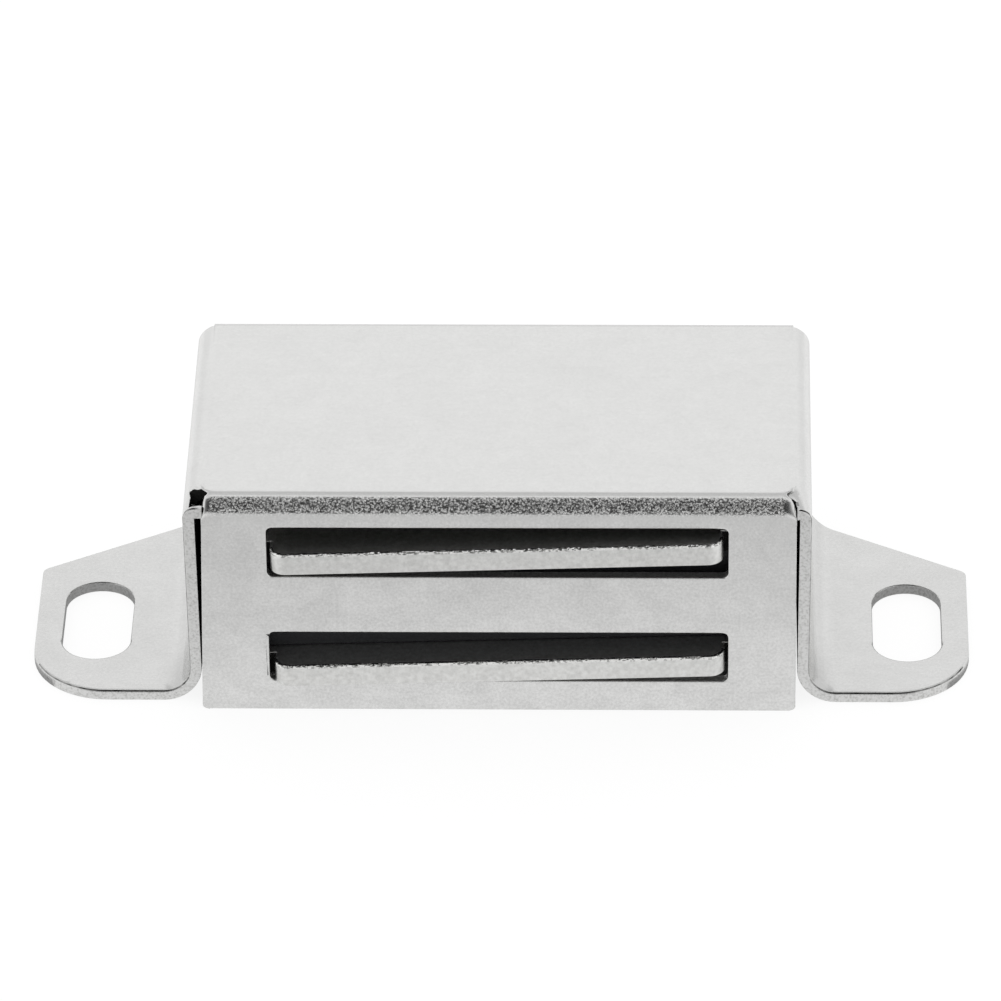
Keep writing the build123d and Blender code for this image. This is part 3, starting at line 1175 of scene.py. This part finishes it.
@dataclass(frozen=True)
class PaperSweep:
    """Matt white paper under the catch.

    It gives a white ground with a soft shadow, with painted shadow under the housing. For the steel
    it glows as a painted reflection: greyer in front of the housing, with painted shade close under
    the ears, and black under the housing, where no light gets in.
    """

    name: str = "white_paper_sweep"
    paper_colour: str = "ececec"
    seen_colour: str = "696969"
    side_colour: str = "fafafa"
    glow: float = 0.88
    # Grey levels of the painted reflection glow far in front and close to the housing, and between
    # which places.
    front_greys: tuple[float, float] = (0.66, 0.82)
    front_mm: tuple[float, float] = (-50.0, -14.6)
    side_mm: tuple[float, float] = (30.0, 55.0)
    # Soft edges of the painted shadow under the housing.
    under_front_mm: tuple[float, float] = (-12.0, -11.6)
    under_back_mm: tuple[float, float] = (4.0, 15.2)
    under_side_mm: tuple[float, float] = (24.3, 24.7)
    # The shade under an ear: its middle and half size, across and along, and its depth.
    ear_across_mm: tuple[float, float] = (33.0, 7.5)
    ear_along_mm: tuple[float, float] = (-1.5, 9.5)
    ear_shade: float = 0.6

    def outside_painted_shadow(
        self, tree: bpy.types.NodeTree, aside: bpy.types.NodeSocket, along: bpy.types.NodeSocket
    ) -> bpy.types.NodeSocket:
        """Marks the paper outside the painted shadow under the housing.

        Args:
            tree: the material's node tree.
            aside: distance from the middle, in metres.
            along: place along Y, in metres.

        Returns:
            0 under the housing and 1 beside it.
        """
        edges = (
            (along, self.under_front_mm, (1.0, 0.0)),
            (along, self.under_back_mm, (0.0, 1.0)),
            (aside, self.under_side_mm, (0.0, 1.0)),
        )
        total: bpy.types.NodeSocket | float = 0.0
        for value, (start, end), (first, last) in edges:
            past = add_node(
                tree, "MapRange", Value=value, From_Min=start * MM, From_Max=end * MM,
                To_Min=first, To_Max=last,
            ).outputs["Result"]
            total = add_node(
                tree, "Math", {"operation": "MAXIMUM"}, in_0=total, in_1=past,
            ).outputs[0]
        return total

    def ear_painted_shade(
        self, tree: bpy.types.NodeTree, aside: bpy.types.NodeSocket, along: bpy.types.NodeSocket
    ) -> bpy.types.NodeSocket:
        """Paints shade into the paper's reflection glow close under the ears.

        Args:
            tree: the material's node tree.
            aside: distance from the middle, in metres.
            along: place along Y, in metres.

        Returns:
            1, or less under an ear.
        """
        shade: bpy.types.NodeSocket | float = -self.ear_shade
        for value, (middle, half) in ((aside, self.ear_across_mm), (along, self.ear_along_mm)):
            within = add_node(
                tree, "Math", {"operation": "COMPARE"}, in_0=value, in_1=middle * MM,
                in_2=half * MM,
            ).outputs[0]
            shade = add_node(
                tree, "Math", {"operation": "MULTIPLY"}, in_0=shade, in_1=within,
            ).outputs[0]
        return add_node(tree, "Math", {"operation": "ADD"}, in_0=shade, in_1=1.0).outputs[0]

    def make(self) -> bpy.types.Material:
        """Builds the node material and returns it."""
        material, tree = new_material(self.name)
        place = add_node(tree, "NewGeometry").outputs["Position"]
        axes = add_node(tree, "SeparateXYZ", Vector=place).outputs
        along = axes["Y"]
        aside = add_node(tree, "Math", {"operation": "ABSOLUTE"}, in_0=axes["X"]).outputs[0]
        # Painted reflection: for the steel the paper glows greyer far in front, paler close to the
        # housing and out to the sides.
        front = add_node(
            tree, "MapRange", {"interpolation_type": "SMOOTHSTEP"}, Value=along,
            From_Min=self.front_mm[0] * MM, From_Max=self.front_mm[1] * MM,
            To_Min=self.front_greys[0], To_Max=self.front_greys[1],
        ).outputs["Result"]
        wide = add_node(
            tree, "MapRange", {"interpolation_type": "SMOOTHSTEP"}, Value=aside,
            From_Min=self.side_mm[0] * MM, From_Max=self.side_mm[1] * MM,
        ).outputs["Result"]
        mirrored = add_node(
            tree, "MixRGB", Fac=wide, Color1=front, Color2=linear(self.side_colour),
        ).outputs["Color"]
        clear = self.outside_painted_shadow(tree, aside, along)
        painted_reflection_strength = add_node(
            tree, "Math", {"operation": "MULTIPLY"}, in_0=self.ear_painted_shade(tree, aside, along),
            in_1=clear,
        ).outputs[0]
        # Painted shadow: the camera's white glow is cut off under the housing.
        lit = add_node(
            tree, "Math", {"operation": "MULTIPLY"}, in_0=clear, in_1=self.glow,
        ).outputs[0]
        paper = add_node(tree, "BsdfDiffuse", Color=linear(self.paper_colour)).outputs[0]
        # Painted reflection glow, which only glossy rays see.
        painted_reflection_glow = add_node(tree, "Emission", Color=mirrored, Strength=painted_reflection_strength).outputs[0]
        faint = add_node(tree, "BsdfDiffuse", Color=linear(self.seen_colour)).outputs[0]
        bright = add_node(tree, "Emission", Color=linear(WHITE), Strength=lit).outputs[0]
        white = add_node(tree, "AddShader", in_0=faint, in_1=bright).outputs[0]
        rays = add_node(tree, "LightPath").outputs
        around = add_node(
            tree, "MixShader", Fac=rays["Is Glossy Ray"], in_1=paper, in_2=painted_reflection_glow,
        ).outputs[0]
        seen = add_node(
            tree, "MixShader", Fac=rays["Is Camera Ray"], in_1=around, in_2=white,
        ).outputs[0]
        add_node(tree, "OutputMaterial", Surface=seen)
        return material


@dataclass
class Studio:
    """Pale floor, soft studio light and the camera."""

    paper: PaperSweep = field(default_factory=PaperSweep)
    azimuth: float = 1.609
    elevation: float = 33.0
    roll: float = -0.708
    distance: float = 0.75
    lens: float = 315.5
    clip: tuple[float, float] = (0.01, 20.0)
    target_mm: tuple[float, float, float] = (-0.07, -0.1, 12.02)
    floor_size: float = 6.0
    floor_drop: float = 0.02 * MM
    # What the steel mirrors overhead: (degrees from the zenith towards the front, grey) stops.
    overhead: tuple[tuple[float, float], ...] = (
        (-90, 0.72), (-64, 0.97), (-50, 0.97), (-44, 0.55), (-22, 0.6),
        (-13, 0.95), (-1, 0.95), (7, 0.05), (80, 0.05), (88, 1.0),
    )
    # Between these sines of the angle sideways, the pale side walls take over.
    sides: tuple[float, float] = (0.35, 0.6)
    side_colour: str = "f3f3f3"

    def camera(self) -> None:
        """Places the camera above and in front of the catch, looking slightly from its right."""
        a, e, r = (math.radians(v) for v in (self.azimuth, self.elevation, self.roll))
        back = Vector((math.sin(a) * math.cos(e), -math.cos(a) * math.cos(e), math.sin(e)))
        level = Vector((math.cos(a), math.sin(a), 0.0))
        upright = back.cross(level)
        right = math.cos(r) * level + math.sin(r) * upright
        up = math.cos(r) * upright - math.sin(r) * level
        pose = Matrix((right, up, back)).transposed().to_4x4()
        pose.translation = Vector(self.target_mm) * MM + back * self.distance
        data = bpy.data.cameras.new("camera")
        data.lens = self.lens
        data.clip_start, data.clip_end = self.clip
        camera = link_object("camera", data)
        camera.matrix_world = pose
        bpy.context.scene.camera = camera

    def floor(self) -> None:
        """Lays the paper a hair below the mounting plane."""
        half, height = self.floor_size / 2, -self.floor_drop
        corners = [(-half, -half), (half, -half), (half, half), (-half, half)]
        mesh = bpy.data.meshes.new("floor")
        mesh.from_pydata([(x, y, height) for x, y in corners], [], [(0, 1, 2, 3)])
        mesh.materials.append(self.paper.make())
        link_object("floor", mesh)

    def sky(self) -> None:
        """Surrounds the catch with a white sweep, an overhead panel and a dark front ceiling."""
        world = bpy.data.worlds.new("studio")
        world.use_nodes = True
        tree = world.node_tree
        tree.nodes.clear()
        way = add_node(tree, "TexCoord").outputs["Generated"]
        axes = add_node(tree, "SeparateXYZ", Vector=way).outputs
        forward = add_node(
            tree, "Math", {"operation": "MULTIPLY"}, in_0=axes["Y"], in_1=-1.0,
        ).outputs[0]
        tilt = add_node(
            tree, "Math", {"operation": "ARCTAN2"}, in_0=forward, in_1=axes["Z"],
        ).outputs[0]
        share = add_node(
            tree, "MapRange", Value=tilt, From_Min=-math.pi / 2, From_Max=math.pi / 2,
        ).outputs["Result"]
        ramp = add_node(tree, "ValToRGB", Fac=share)
        ramp_stops(ramp, [((degrees + 90) / 180, grey) for degrees, grey in self.overhead])
        aside = add_node(tree, "Math", {"operation": "ABSOLUTE"}, in_0=axes["X"]).outputs[0]
        sideways = add_node(
            tree, "MapRange", {"interpolation_type": "SMOOTHSTEP"}, Value=aside,
            From_Min=self.sides[0], From_Max=self.sides[1],
        ).outputs["Result"]
        mirrored = add_node(
            tree, "MixRGB", Fac=sideways, Color1=ramp.outputs["Color"],
            Color2=linear(self.side_colour),
        ).outputs["Color"]
        rays = add_node(tree, "LightPath").outputs
        around = add_node(
            tree, "MixRGB", Fac=rays["Is Glossy Ray"], Color1=linear(WHITE), Color2=mirrored,
        ).outputs["Color"]
        seen = add_node(
            tree, "MixRGB", Fac=rays["Is Camera Ray"], Color1=around, Color2=linear(WHITE),
        ).outputs["Color"]
        light = add_node(tree, "Background", Color=seen, Strength=1.0)
        add_node(tree, "OutputWorld", Surface=light.outputs[0])
        bpy.context.scene.world = world

    def build(self) -> None:
        """Sets the stage."""
        self.camera()
        self.floor()
        self.sky()
        bpy.context.scene.view_settings.view_transform = "Standard"


def main() -> None:
    """Builds the stage and every sub-assembly."""
    Studio().build()
    for part in (Housing(), MagnetPack()):
        part.build()
        log.info("built %s", type(part).__name__)


if __name__ == "__main__":
    main()
